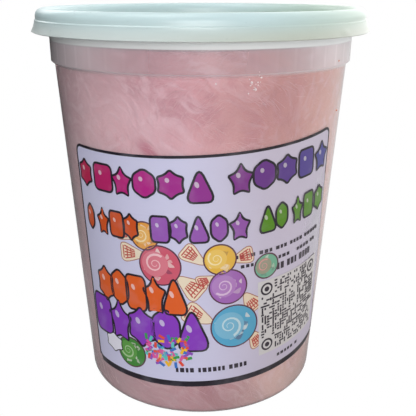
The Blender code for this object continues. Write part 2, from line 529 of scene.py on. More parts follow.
# Both colours turn darker and warmer towards the right: painted shade by side.
lower = milky.mixed(milky.ramped(across, -0.03, 0.04), linear(222, 234, 232), linear(207, 214, 200))
upper = milky.mixed(milky.ramped(across, 0.01, 0.055), linear(220, 245, 248), linear(214, 236, 222))
body = milky.node("ShaderNodeBsdfPrincipled", None, {
    "Base Color": milky.mixed(low_part, upper, lower),
    "Roughness": 0.24 + grain * 0.12,
    "IOR": 1.49,
    "Subsurface Weight": 0.2, "Subsurface Radius": (1.0, 1.0, 1.0), "Subsurface Scale": 0.002,
    "Normal": milky.bump(cloud, 0.0002, 0.3)})
let_through = milky.node("ShaderNodeBsdfTransparent", None, {"Color": (1.0, 1.0, 1.0)})
milky_plastic = milky.finish(milky.node("ShaderNodeMixShader", None, {0: 0.20, 1: body, 2: let_through}))
dress(lid, milky_plastic, "lid")

# %% [markdown]
# ## The candy
#
# Spun sugar is pressed against the wall in soft folds. Its body is spun like the tub's inside, and
# reaches just into the wall, so that no air shows between them. Then its points are drawn in a little
# along folds of warped noise, never as far as the inside of the wall.

# %% Spin the candy's body
CANDY_COLUMNS = 360
INTO_WALL = 0.48
inset = WALL - INTO_WALL
candy_top = PANEL_HEIGHT - LID_WALL - 0.2


def wall_radius(height):
    """The radius of the wall's outer side at a height, all in millimetres."""
    if height >= COLLAR_BOTTOM:
        return COLLAR_RADIUS
    if height >= BODY_TOP:
        share = (height - BODY_TOP) / (COLLAR_BOTTOM - BODY_TOP)
        return BODY_TOP_RADIUS + share * (COLLAR_RADIUS - BODY_TOP_RADIUS)
    if height >= FOOT_ROUNDING:
        return FOOT_RADIUS + (height - FOOT_ROUNDING) * WALL_SLOPE
    return foot_centre + sqrt(max(FOOT_ROUNDING**2 - (FOOT_ROUNDING - height) ** 2, 0.0))


floor_height = FOOT_RECESS + WALL - INTO_WALL
heights = [candy_top - 0.9 - i * 0.75 for i in range(int((candy_top - 0.9 - FOOT_ROUNDING) / 0.75))]
candy_side = [(wall_radius(height) - inset, height) for height in heights]
dip = -degrees(asin((FOOT_ROUNDING - floor_height) / (FOOT_ROUNDING - inset)))
candy_foot = arc(foot_centre, FOOT_ROUNDING, FOOT_ROUNDING - inset, 0, dip, 6)
candy_cap = [(radius, candy_top) for radius in (0.0, 15.0, 30.0, 42.0, 48.0, COLLAR_RADIUS - inset - 0.8)]
candy_floor = [(radius, floor_height) for radius in (34.0, 26.0, 16.0, 8.0, 0.0)]
candy = turned("candy_body", candy_cap + candy_side + candy_foot + candy_floor, CANDY_COLUMNS, 60.0)


# %% Draw in the folds
FOLD_DEPTH = 0.36
MEAN_RADIUS = 50.0  # of the wall, to turn an angle into a way round it


def fold(turn, height):
    """How far the candy is drawn in at a place on the wall, from 0 to 1."""
    # Going round the wall is walking round a circle, so the pattern meets itself at the back.
    walk = Vector((sin(turn), -cos(turn), 0.0)) * MEAN_RADIUS
    spot = Vector((walk.x, walk.y, height))
    warp = noise.noise_vector(spot / 24) * 9
    broad = noise.noise((spot + warp) / 15 + Vector((3.0, 0.0, 0.0)))
    ridge = 1 - min(1.0, abs(noise.noise((spot + warp * 1.4) / 21 + Vector((0.0, 7.0, 0.0)))) / 0.14)
    fine = noise.noise((spot + warp) / 4.5)
    return min(max(0.30 + 0.42 * broad + 0.45 * ridge**2 + 0.16 * fine, 0.0), 1.0)


for vertex in candy.data.vertices:
    spot = vertex.co / MM
    if spot.xy.length > foot_centre - 1 and floor_height + 0.3 < spot.z < candy_top - 0.3:
        turn = Vector((0.0, -1.0)).angle_signed(Vector(spot.xy))
        vertex.co.xy *= 1 - FOLD_DEPTH * fold(turn, spot.z) / spot.xy.length
pick(candy)
bpy.ops.object.shade_smooth()
print("the folds are up to", FOLD_DEPTH, "mm deep in a wall of", WALL, "mm")

# %% [markdown]
# ## The finish of the candy
#
# Spun sugar looks matt from afar, with paler wisps where fibres crowd, and deeper pink painted
# shade in the creases of the folds.
# The colour comes from stretched noise, and the same noise lifts a fine bump. A few places are given
# one by one: a paler tuft, one fold and two hollows darkened with painted shade, and a foot with
# painted shade on the left that pales with painted light to the right. All over, the colour is also
# paler on the left and warmer on the right: painted light by side.

# %% Spun sugar
sugar = new_finish("spun_sugar")
place = sugar.place()
drift = sugar.node("ShaderNodeTexNoise", None, {"Vector": place, "Scale": 30.0, "Detail": 2.0}, "Color")
warped = sugar.node("ShaderNodeVectorMath", {"operation": "MULTIPLY_ADD"}, {
    0: drift, 1: (0.035, 0.035, 0.035), 2: place})
slanted = sugar.stretched(warped, (1.0, 1.0, 1.8), (0.0, radians(-55), 0.0))
patches = sugar.noise(slanted, 26.0, 3.0, 0.5, 0.6)
folds = sugar.noise(slanted, 75.0, 4.0, 0.6, 0.4)
drawn_out = sugar.stretched(warped, (1.0, 1.0, 5.0), (0.0, radians(-60), 0.0))
wisps = sugar.noise(drawn_out, 300.0, 4.0, 0.6, 0.6)
fine = sugar.noise(sugar.stretched(warped, (1.0, 1.0, 4.0), (0.0, radians(40), 0.0)), 1100.0, 3.0, 0.6)
side = sugar.axis(place, "X")
# Both the pink and the deep colour turn warmer and more salmon towards the right: painted warm light by
# side.
pink = sugar.mixed(sugar.ramped(side, -0.015, 0.045), linear(237, 182, 191), linear(233, 174, 159))
deep = sugar.mixed(sugar.ramped(side, -0.015, 0.045), linear(213, 149, 161), linear(203, 144, 138))
tone = sugar.mixed(sugar.ramped(patches, 0.38, 0.58), deep, pink)
# Deeper pink in the creases of the fold noise: painted shade.
tone = sugar.mixed(sugar.ramped(folds, 0.28, 0.50, 0.55, 0.0), tone, linear(200, 134, 147))
tone = sugar.mixed(sugar.ramped(wisps, 0.45, 0.70, 0.0, 0.65), tone, linear(248, 210, 218))
tone = sugar.mixed(sugar.ramped(fine, 0.45, 0.8, 0.0, 0.3), tone, linear(248, 212, 218))
# Paler towards the left: painted light by side.
tone = sugar.mixed(sugar.ramped(side, -0.038, 0.0, 0.50, 0.0), tone, linear(247, 220, 224))
# The hollow's darker colour is painted shade; the tuft's paler colour is its own.
for spot, reach, share, colour in [  # a paler tuft, and a deeper hollow
        ((0.0015, -0.0295, 0.1225), 0.022, 0.45, linear(252, 216, 224)),
        ((0.0365, -0.0295, 0.1275), 0.026, 0.60, linear(192, 130, 132))]:
    away = sugar.node("ShaderNodeVectorMath", {"operation": "DISTANCE"}, {0: warped, 1: spot}, "Value")
    tone = sugar.mixed(sugar.ramped(away, 0.004, reach, share, 0.0), tone, colour)
up = sugar.axis(place, "Z")
# A fold line in front, darkened with painted shade.
along_fold = (side + 0.0139) * 0.66 - (up - 0.0955) * 0.75
off_fold = abs((side + 0.0139) * 0.75 + (up - 0.0955) * 0.66 + (folds - 0.5) * 0.004)
in_front = sugar.ramped(sugar.axis(place, "Y"), -0.03, -0.02, 1.0, 0.0)
fold_painted_shade = (sugar.ramped(off_fold, 0.0004, 0.0030, 1.0, 0.0)
          * sugar.ramped(abs(along_fold), 0.004, 0.010, 1.0, 0.0) * in_front)
tone = sugar.mixed(fold_painted_shade * 0.75, tone, linear(206, 122, 142))
# A second hollow, darkened with painted shade.
away = sugar.node("ShaderNodeVectorMath", {"operation": "DISTANCE"}, {
    0: warped, 1: (0.046, -0.022, 0.130)}, "Value")
tone = sugar.mixed(sugar.ramped(away, 0.006, 0.024, 0.55, 0.0), tone, linear(200, 142, 138))
# Towards the foot: painted shade on the left, and painted light on the right.
foot_painted_shade_and_light = sugar.mixed(sugar.ramped(side, 0.0, 0.034), linear(170, 134, 136), linear(240, 216, 206))
tone = sugar.mixed(sugar.ramped(up, 0.004, 0.034, 0.55, 0.0), tone, foot_painted_shade_and_light)
spun_sugar = sugar.finish(sugar.node("ShaderNodeBsdfPrincipled", None, {
    "Base Color": tone, "Roughness": 0.85, "Specular IOR Level": 0.2,
    "Subsurface Weight": 0.15, "Subsurface Radius": (1.0, 0.6, 0.6), "Subsurface Scale": 0.003,
    "Normal": sugar.bump(folds + wisps * 0.5 + fine * 0.15, 0.0016, 0.5)}))
dress(candy, spun_sugar, "cotton_candy")

# %% [markdown]
# ## The fibres
#
# A few thousand fine strands lie pressed against the wall, in tufts that share a direction. Each is a
# thin curve that wanders a little, and all of them become one mesh.

# %% Lay the fibres
chance = Random(11)
TUFTS, IN_TUFT, STRAND_POINTS = 150, 16, 9
curve = bpy.data.curves.new("fibres", "CURVE")
curve.dimensions = "3D"
curve.bevel_depth = 0.032 * MM
curve.bevel_resolution = 0
curve.use_fill_caps = True
CHOSEN = [  # turn, height and lean in degrees and millimetres, then length and spread
    (-42, 114, -40, 14, 3.0), (-36, 108, -48, 16, 3.4), (-30, 101, -38, 14, 3.0), (-40, 101, -30, 12, 2.6),
    (-26, 110, -55, 12, 2.4), (-9, 115, 38, 16, 3.2), (-4, 108, 30, 14, 3.0), (-14, 104, 48, 12, 2.4),
    (-18, 117, 20, 12, 2.4), (2, 118, 42, 12, 2.2), (-22, 94, -50, 14, 2.6), (8, 100, -20, 14, 3.0)]
for tuft in range(TUFTS):
    middle_turn = radians(chance.uniform(-180, 180))
    middle_height = chance.uniform(6, 126)
    field = noise.noise(Vector((sin(middle_turn) * 1.6, cos(middle_turn) * 1.6, middle_height / 34)))
    lean = radians(-52 + 150 * field)
    length = chance.uniform(5, 13)
    spread = chance.uniform(1.0, 4.5)
    if 0.25 < middle_turn < 1.6:
        length, lean = length * 0.5, lean + chance.uniform(-0.6, 0.6)
    if tuft < len(CHOSEN):
        middle_turn, lean = radians(CHOSEN[tuft][0]), radians(CHOSEN[tuft][2])
        middle_height, spread = CHOSEN[tuft][1], CHOSEN[tuft][4]
        length = CHOSEN[tuft][3] * 0.6
    bend = chance.uniform(-0.03, 0.03)
    for strand in range(IN_TUFT):
        off = chance.gauss(0, spread)
        slide = chance.uniform(-6, 6)
        along = middle_turn * MEAN_RADIUS + off * -sin(lean) + slide * cos(lean)
        up = middle_height + off * cos(lean) + slide * sin(lean)
        heading = lean + chance.gauss(0, 0.22)
        stretch = length * chance.uniform(0.6, 1.2) / (STRAND_POINTS - 1)
        wander = chance.uniform(-0.02, 0.02)
        line = curve.splines.new("POLY")
        line.points.add(STRAND_POINTS - 1)
        for i, point in enumerate(line.points):
            along += stretch * cos(heading)
            up += stretch * sin(heading)
            heading += bend + wander + chance.gauss(0, 0.03)
            safe = min(max(up, 4.5), candy_top - 1.0)
            from_middle = abs(2 * i / (STRAND_POINTS - 1) - 1)
            radius = (wall_radius(safe) - inset + 0.03 - 0.2 * from_middle**3) * MM
            turn = along / MEAN_RADIUS
            point.co = (radius * sin(turn), -radius * cos(turn), safe * MM, 1.0)
            point.radius = 1.0 - 0.6 * from_middle**2
fibres = bpy.data.objects.new("candy_fibres", curve)
bpy.context.scene.collection.objects.link(fibres)
pick(fibres)
bpy.ops.object.convert(target="MESH")
fibres = bpy.context.object
fibres.data.name = "candy_fibres"
bpy.ops.object.shade_smooth()

# %% Finish of the fibres
floss = new_finish("sugar_fibres")
patchy = floss.noise(floss.place(), 70.0, 2.0)
sugar_fibres = floss.finish(floss.node("ShaderNodeBsdfPrincipled", None, {
    "Base Color": floss.mixed(patchy, linear(240, 196, 204), linear(250, 218, 224)),
    "Roughness": 0.6, "Specular IOR Level": 0.3}))
dress(fibres, sugar_fibres)

# %% [markdown]
# ## The label
#
# The label is a flat sheet of print stuck round the cone of the wall. Everything on it is drawn flat
# in label millimetres first, then cut into narrow upright strips so that it can bend, and at last
# every point is wrapped onto the cone. The shapes are chips of ink a few hundredths of a millimetre
# thick, so their edges stay crisp from near by.

# %% Sizes of the label, and the wrap
LABEL_WIDTH, LABEL_HEIGHT, LABEL_CORNER = 101.6, 84.7, 3.0
LABEL_ACROSS, LABEL_UP, LABEL_TILT = 3.5, 55.5, radians(3.0)
STRIP = 1.4
PAPER = 0.14  # how far the sheet's face stands off the wall
INK = 0.03


def on_wall(across, up, proud):
    """A point of the flat label, in millimetres, turned by its tilt and wrapped onto the cone."""
    flat_x = LABEL_ACROSS + across * cos(LABEL_TILT) - up * sin(LABEL_TILT)
    flat_y = LABEL_UP + across * sin(LABEL_TILT) + up * cos(LABEL_TILT)
    flat_y -= APEX / cos(HALF_ANGLE)
    slant = sqrt(flat_x**2 + flat_y**2)
    around = atan(flat_x / flat_y) / sin(HALF_ANGLE)
    height = slant * cos(HALF_ANGLE) + APEX
    radius = slant * sin(HALF_ANGLE) + proud
    return radius * sin(around) * MM, -radius * cos(around) * MM, height * MM


def paint(piece, colour, wanted=None):
    """Write a colour into the ink attribute of the wanted faces."""
    layer = piece.data.color_attributes.get("ink")
    if layer is None:
        layer = piece.data.color_attributes.new("ink", "FLOAT_COLOR", "CORNER")
    for face in piece.data.polygons:
        if wanted is None or wanted(face):
            for corner in face.loop_indices:
                layer.data[corner].color = (*colour, 1.0)


def outline(piece, width, colour):
    """Inset every face of a flat piece and paint the band that this leaves."""
    pick(piece)
    bpy.ops.object.mode_set(mode="EDIT")
    bpy.ops.mesh.select_mode(type="FACE")
    bpy.ops.mesh.select_all(action="SELECT")
    bpy.ops.mesh.inset(thickness=width, use_individual=True, use_even_offset=True)
    bpy.ops.object.mode_set(mode="OBJECT")
    paint(piece, colour, lambda face: not face.select)


def wrap(piece, proud, thickness):
    """Cut a flat piece into strips, wrap it onto the wall and give it thickness."""
    pick(piece)
    bpy.ops.object.mode_set(mode="EDIT")
    bpy.ops.mesh.select_all(action="SELECT")
    bpy.ops.mesh.quads_convert_to_tris()
    sides = [vertex.co.x for vertex in piece.data.vertices]
    cut = STRIP * round(min(sides) / STRIP) + STRIP / 2
    while cut < max(sides):
        bpy.ops.mesh.select_all(action="SELECT")
        bpy.ops.mesh.bisect(plane_co=(cut, 0.0, 0.0), plane_no=(1.0, 0.0, 0.0))
        cut += STRIP
    bpy.ops.object.mode_set(mode="OBJECT")
    flat = piece.data.uv_layers.new(name="flat")
    for corner in piece.data.loops:
        spot = piece.data.vertices[corner.vertex_index].co
        flat.data[corner.index].uv = (spot.x / LABEL_WIDTH + 0.5, spot.y / LABEL_HEIGHT + 0.5)
    for vertex in piece.data.vertices:
        vertex.co = on_wall(vertex.co.x, vertex.co.y, proud)
    modify(piece, "SOLIDIFY", thickness=thickness * MM, offset=-1.0)
    bpy.ops.object.shade_smooth_by_angle(angle=radians(30))


printed = []


def lay(shapes, name, level, edge=None):
    """Join flat shapes into one layer of ink, outline them, and wrap them at their level."""
    piece = put_together(shapes, name)
    if edge:
        outline(piece, *edge)
    wrap(piece, PAPER + level * INK, INK)
    printed.append(piece)
    print(name, "is made of", len(shapes), "shapes")


print("the sheet's middle is at", [round(value / MM, 1) for value in on_wall(0, 0, 0)])

# %% Sheet and border
BLACK = linear(36, 30, 40)
PAPER_COLOUR = linear(214, 210, 234)
deselect()
bpy.ops.mesh.primitive_plane_add(size=1.0, location=(0.0, 0.0, 0.0))
sheet = bpy.context.object
sheet.name = sheet.data.name = "label_sheet"
bpy.ops.object.mode_set(mode="EDIT")
bpy.ops.mesh.select_all(action="SELECT")
bpy.ops.transform.resize(value=(LABEL_WIDTH, LABEL_HEIGHT, 1.0))
bpy.ops.mesh.select_mode(type="VERT")
bpy.ops.mesh.bevel(offset=LABEL_CORNER, segments=8, affect="VERTICES")
bpy.ops.object.mode_set(mode="OBJECT")
paint(sheet, PAPER_COLOUR)
outline(sheet, 0.9, BLACK)
pick_points(sheet, lambda point: (
    -LABEL_HEIGHT / 2 + 0.5 < point.y < 0 and abs(point.x) < LABEL_WIDTH / 2 - 0.5))
bpy.ops.transform.translate(value=(0.0, 1.3, 0.0))
bpy.ops.object.mode_set(mode="OBJECT")
wrap(sheet, PAPER, PAPER - 0.02)

# %% [markdown]
# ## The shapes of the print
#
# The print holds no words: its lines are rows of plain rounded shapes, stars and flowers, each with a
# dark outline. Each kind of shape is modelled once from a circle, by pinching every other point and
# rounding the corners, and is then copied, each copy with its own mesh.


# %% Model the kinds of shape
def motif(name, corners, pinch, rounding):
    """A flat shape of half size 1: a ring of corners, pinched at every other one and rounded."""
    deselect()
    if corners == 4:
        bpy.ops.mesh.primitive_plane_add(size=2.0, location=(0.0, 0.0, 0.0))
    else:
        bpy.ops.mesh.primitive_circle_add(
            vertices=corners, radius=1.0, fill_type="NGON", location=(0.0, 0.0, 0.0))
    made = bpy.context.object
    made.name = made.data.name = name
    if pinch != 1.0:
        pinched = [made.data.vertices[i].co.copy() for i in range(1, corners, 2)]
        pick_points(made, lambda point: any((point - spot).length < 0.001 for spot in pinched))
        bpy.ops.transform.resize(value=(pinch, pinch, 1.0), center_override=(0.0, 0.0, 0.0))
    if rounding:
        bpy.ops.object.mode_set(mode="EDIT")
        bpy.ops.mesh.select_mode(type="VERT")
        bpy.ops.mesh.select_all(action="SELECT")
        bpy.ops.mesh.bevel(offset=rounding, segments=4, affect="VERTICES")
    bpy.ops.object.mode_set(mode="OBJECT")
    low = Vector([min(vertex.co[i] for vertex in made.data.vertices) for i in (0, 1)])
    high = Vector([max(vertex.co[i] for vertex in made.data.vertices) for i in (0, 1)])
    middle, size = (low + high) / 2, (high - low) / 2
    made.data.transform(Matrix.Diagonal((1 / size.x, 1 / size.y, 1.0, 1.0))
                        @ Matrix.Translation((-middle.x, -middle.y, 0.0)))
    return made


def copied(model, across, up, half_width, half_height, turn, colour):
    """A copy of a flat model at a place on the label, with its own mesh and ink."""
    made = model.copy()
    made.data = model.data.copy()
    bpy.context.scene.collection.objects.link(made)
    made.data.transform(Matrix.Translation((across, up, 0.0)) @ Matrix.Rotation(radians(turn), 4, "Z")
                        @ Matrix.Diagonal((half_width, half_height, 1.0, 1.0)))
    paint(made, colour)
    return made


square = motif("square", 4, 1.0, 0.45)
star = motif("star", 10, 0.62, 0.16)
flower = motif("flower", 12, 0.74, 0.2)
drop = motif("drop", 3, 1.0, 0.5)
hexagon = motif("hexagon", 6, 1.0, 0.3)
disc = motif("disc", 36, 1.0, 0.0)
block = motif("block", 4, 1.0, 0.0)
models = [square, star, flower, drop, hexagon, disc, block]
print(len(models), "flat models")


# %% Rows of shapes
def between(first, second, share):
    return tuple(a + (b - a) * share for a, b in zip(first, second))


row_shapes = []
top_row = [(-49, -42), (-40.5, -32), (-32, -24.5), (-24, -16), (-15.3, -7), (-6, 2),
           (7, 15), (15, 23), (23.5, 31.5), (32.5, 40), (41, 49)]
reds = [linear(190, 35, 80), linear(190, 35, 130), linear(150, 45, 145), linear(100, 60, 150),
        linear(80, 80, 165)]
kinds = [flower, square, star, hexagon, flower, drop, star, hexagon, flower, square, star]
for i, ((left, right), kind) in enumerate(zip(top_row, kinds)):
    share = i / (len(top_row) - 1) * (len(reds) - 1)
    step = min(int(share), len(reds) - 2)
    colour = between(reds[step], reds[step + 1], share - step)
    low, high = (28.0, 38.0) if i < 5 else (26.5, 37.5) if i == 5 else (28.5, 38.8)
    row_shapes.append(copied(
        kind, (left + right) / 2, (low + high) / 2, (right - left) / 2 * 1.08, (high - low) / 2, 0, colour))
second_row = ([(-47, -43), (-41, -35.5), (-35, -29), (-29, -23.5)], linear(215, 85, 30)), \
             ([(-19, -12.6), (-12.4, -6.8), (-6.2, 0), (0.6, 6.2), (6.8, 13.5)], linear(155, 90, 180)), \
             ([(17, 23), (23, 28), (30, 35), (35.5, 41), (42, 48)], linear(90, 150, 20))
for word, (spans, colour) in enumerate(second_row):
    for i, (left, right) in enumerate(spans):
        kind = (hexagon, star, square, flower, drop)[(i + 2 * word) % 5]
        row_shapes.append(copied(
            kind, (left + right) / 2, 17.4 + 0.3 * word, (right - left) / 2 + 0.3, 4.9, 0, colour))
for i in range(5):
    kind = (flower, hexagon, square, star, drop)[i]
    row_shapes.append(copied(kind, -40.5 + 7.0 * i, -6.8 + 0.5 * (i % 2), 4.3, 7.0, 0, linear(232, 98, 36)))
for i in range(5):
    kind = (square, star, flower, hexagon, drop)[i]
    row_shapes.append(copied(
        kind, -44.0 + 9.2 * i, -20.0 + 0.6 * (i % 2), 5.4, 8.0, 0, linear(140, 60, 190)))
glints = []
for shape in row_shapes:
    spots = [vertex.co for vertex in shape.data.vertices]
    middle = sum(spots, Vector()) / len(spots)
    half = max(spot.y for spot in spots) - middle.y
    width = max(spot.x for spot in spots) - middle.x
    colour = shape.data.color_attributes["ink"].data[0].color[:3]
    glints.append(copied(disc, middle.x - width * 0.22, middle.y + half * 0.30,
                         width * 0.16, half * 0.16, 20, between(colour, (1.0, 1.0, 1.0), 0.45)))
lay(row_shapes, "label_shapes", 4.8, (0.75, BLACK))
lay(glints, "label_glints", 5.8)

# %% [markdown]
# ## The sweets of the print
#
# Wrapped sweets are drawn as simple clip art: a disc with a swirl, and cream paper ends crossed with
# red lines. The swirl is modelled once: an edge is extruded, turned and shrunk again and again about
# the middle.

# %% Model the swirl
deselect()
bpy.ops.mesh.primitive_plane_add(size=1.0, location=(0.0, 0.0, 0.0))
swirl = bpy.context.object
swirl.name = swirl.data.name = "swirl"
bpy.ops.object.mode_set(mode="EDIT")
bpy.ops.mesh.select_mode(type="VERT")
bpy.ops.mesh.select_all(action="SELECT")
bpy.ops.mesh.merge(type="CENTER")
bpy.ops.transform.translate(value=(0.66, 0.0, 0.0))
bpy.ops.mesh.extrude_region_move(TRANSFORM_OT_translate={"value": (0.17, 0.0, 0.0)})
bpy.ops.mesh.select_all(action="SELECT")
for i in range(30):
    bpy.ops.mesh.extrude_region_move(TRANSFORM_OT_translate={"value": (0.0, 0.0, 0.0)})
    bpy.ops.transform.rotate(value=radians(-22), orient_axis="Z", center_override=(0.0, 0.0, 0.0))
    bpy.ops.transform.resize(value=(0.945, 0.945, 1.0), center_override=(0.0, 0.0, 0.0))
bpy.ops.object.mode_set(mode="OBJECT")
models.append(swirl)
print("the swirl has", len(swirl.data.polygons), "faces")

# %% Lay the sweets
sweets, swirls, turns, ends, lattice = [], [], [], [], []
sweet_list = [  # across, up, radius, body, swirl
    (-21.5, 17.5 - 2.6, 5.2, linear(236, 160, 60), linear(252, 214, 130)),
    (-16.8, 4.7, 7.4, linear(214, 92, 112), linear(246, 170, 178)),
    (3.2, 6.6, 5.6, linear(240, 190, 70), linear(255, 228, 140)),
    (5.5, -3.8, 6.6, linear(170, 110, 190), linear(214, 170, 222)),
    (7.2, -19.3, 8.4, linear(92, 176, 214), linear(176, 220, 236)),
    (19.4, 1.0, 4.8, linear(120, 190, 160), linear(214, 90, 90)),
    (-31.0, -31.5, 6.2, linear(70, 140, 60), linear(130, 190, 90)),
]
chance = Random(3)
facets = []
for across_it, up_it, radius, body, twist in sweet_list:
    sweets.append(copied(disc, across_it, up_it, radius, radius, 0, body))
    for i in range(12):
        way, out = chance.uniform(0, 2 * pi), chance.uniform(0.35, 0.70) * radius
        size = radius * chance.uniform(0.12, 0.24)
        target = chance.choice(((1.0, 0.95, 0.85), (1.0, 0.95, 0.85), (0.15, 0.05, 0.10)))
        facets.append(copied(drop, across_it + out * cos(way), up_it + out * sin(way), size, size * 0.55,
                             chance.uniform(0, 360), between(body, target, chance.uniform(0.25, 0.6))))
    face_x, face_y = across_it - radius * 0.22, up_it + radius * 0.06
    swirls.append(copied(disc, face_x, face_y, radius * 0.62, radius * 0.62, 0, between(body, twist, 0.35)))
    turns.append(copied(swirl, face_x, face_y, radius * 0.7, radius * 0.7,
                        40 * across_it, between(twist, (1.0, 0.95, 0.9), 0.3)))
end_list = [  # across, up, half length, half width, turn
    (-26.3, 8.0, 5.0, 3.6, 0), (-7.2, -2.4, 5.2, 4.4, 140), (-5.2, 8.2, 4.6, 3.4, 320),
    (-28.4, 14.6, 4.4, 3.0, 350), (-12.8, 17.6, 4.0, 3.0, 170),
    (10.4, 6.4, 4.2, 3.2, 190), (13.2, -11.0, 4.4, 3.8, 120), (-4.8, -14.0, 5.4, 4.2, 330),
    (14.6, -26.0, 4.0, 3.4, 120), (-1.6, -0.6, 3.4, 2.6, 20)]
for across_it, up_it, half_length, half_width, turn in end_list:
    ends.append(copied(drop, across_it, up_it, half_width, half_length, turn - 90, linear(242, 224, 196)))
    spoke = radians(turn)
    for i in (-2, -1, 0, 1, 2):
        shift = i * half_width * 0.24
        lattice.append(copied(block, across_it - half_length * 0.25 * cos(spoke) - sin(spoke) * shift,
                              up_it - half_length * 0.25 * sin(spoke) + cos(spoke) * shift,
                              half_length * 0.42, 0.22, turn - 9 * i, linear(196, 78, 68)))
    for i in (0.15, 0.45, 0.75):
        lattice.append(copied(block, across_it - half_length * i * cos(spoke),
                              up_it - half_length * i * sin(spoke),
                              0.2, half_width * (0.35 + 0.4 * i), turn, linear(196, 78, 68)))
lay(ends, "label_sweet_ends", 1, (0.3, linear(176, 116, 96)))
lay(sweets, "label_sweets", 2, (0.5, linear(92, 50, 70)))
lay(lattice, "label_lattice", 1.6)
lay(facets, "label_facets", 2.6)
lay(swirls, "label_sweet_faces", 3.2)
lay(turns, "label_swirls", 3.8)

# %% [markdown]
# ## The small marks of the print
#
# Where the print has its small lines, there are rows of little plain bars of mixed widths. A white
# panel holds a few hundred scattered dashes and three rings. Confetti of many colours lies at the
# foot, beside a puff of floss. All of it is copies of one block and one disc.

# %% Lines of bars
chance = Random(5)
INK_DARK = linear(52, 44, 56)
bars = []


def line_of_bars(left, right, low, high, rise=0.0):
    """A row of small plain bars, in groups, that may climb to the right."""
    cursor = left
    left_in_group = chance.randint(3, 6)
    while cursor < right - 0.6:
        width = chance.uniform(0.9, 1.5)
        middle = (low + high) / 2 + rise * (cursor - left)
        bars.append(copied(block, cursor + width / 2, middle, width / 2, (high - low) / 2, 0, INK_DARK))
        cursor += width + 0.55
        left_in_group -= 1
        if left_in_group == 0:
            cursor += 1.0
            left_in_group = chance.randint(3, 6)


line_of_bars(6.0, 46.0, 5.9, 7.2)
line_of_bars(10.0, 30.0, 2.2, 3.4)
line_of_bars(33.0, 43.6, 2.2, 3.4)
line_of_bars(20.0, 41.0, -1.9, 0.6)
line_of_bars(-14.0, 12.5, -36.4, -34.6)
line_of_bars(24.0, 34.5, -37.6, -36.4)
lay(bars, "label_bars", 1)

# %% The white panel, its dashes and rings
PANEL_LEFT, PANEL_RIGHT, PANEL_LOW, PANEL_TOP = 16.0, 46.0, -34.0, -4.5
PANEL_WHITE = linear(222, 223, 226)
DASH_PITCH = 1.12
DASH_SHARE = 0.62
white_panel = copied(block, (PANEL_LEFT + PANEL_RIGHT) / 2, (PANEL_LOW + PANEL_TOP) / 2,
                     (PANEL_RIGHT - PANEL_LEFT) / 2, (PANEL_TOP - PANEL_LOW) / 2, 0, PANEL_WHITE)
lay([white_panel], "label_panel", 2)
rings = [(19.4, -7.9), (42.4, -7.9), (19.4, -30.4)]
dashes = []
for column in range(25):
    for row in range(25):
        across_it = PANEL_LEFT + 1.6 + DASH_PITCH * column
        up_it = PANEL_LOW + 1.5 + DASH_PITCH * row
        near_ring = any(sqrt((across_it - x) ** 2 + (up_it - y) ** 2) < 3.6 for x, y in rings)
        if near_ring or chance.random() > DASH_SHARE:
            continue
        upright = chance.random() < 0.5
        long, short = chance.uniform(0.40, 0.72), 0.32
        dashes.append(copied(block, across_it, up_it, short if upright else long,
                             long if upright else short, 0, INK_DARK))
for x, y in rings:
    dashes.append(copied(disc, x, y, 2.4, 2.4, 0, INK_DARK))
lay(dashes, "label_dashes", 3)
lay([copied(disc, x, y, 1.7, 1.7, 0, PANEL_WHITE) for x, y in rings], "label_ring_whites", 4)
lay([copied(disc, x, y, 0.95, 0.95, 0, INK_DARK) for x, y in rings], "label_ring_dots", 5)

# %% Puff and confetti
lay([copied(flower, -39.0, -30.0, 4.2, 4.0, 0, linear(240, 236, 244))], "label_puff", 6.4, (0.4, BLACK))
party = [linear(235, 80, 60), linear(250, 190, 50), linear(60, 160, 80), linear(60, 120, 200),
         linear(230, 90, 160), linear(150, 80, 190), linear(90, 200, 190)]
confetti = []
for i in range(64):
    across_it, up_it = chance.uniform(-24.0, -8.0), chance.uniform(-34.0, -22.5)
    confetti.append(copied(block, across_it, up_it, 1.15, 0.5, chance.uniform(0, 180), chance.choice(party)))
lay(confetti, "label_confetti", 6.4)
for model in models:
    bpy.data.objects.remove(model)
print(len(printed), "layers of ink")

# %% [markdown]
# ## The finish of the print
#
# Sheet and ink share one finish: the colour is the ink attribute, and the shine is that of coated
# paper. The colour is lighter and bluer on the left and darker and warmer on the right: painted light
# and shade by side. Faint creases run across the sheet where it was folded, and a fine noise dulls
# the shine.

# %% Printed sheet
print_finish = new_finish("label_print")
flat = print_finish.node("ShaderNodeUVMap", {"uv_map": "flat"})
ink = print_finish.node("ShaderNodeAttribute", {"attribute_name": "ink"}, output="Color")
place = print_finish.place()
wear = print_finish.noise(place, 120.0, 4.0)
grain = print_finish.noise(place, 1500.0, 2.0)
worn_and_side_shaded = print_finish.mixed(print_finish.ramped(wear, 0.45, 0.8, 0.0, 0.12), ink, linear(222, 220, 230))
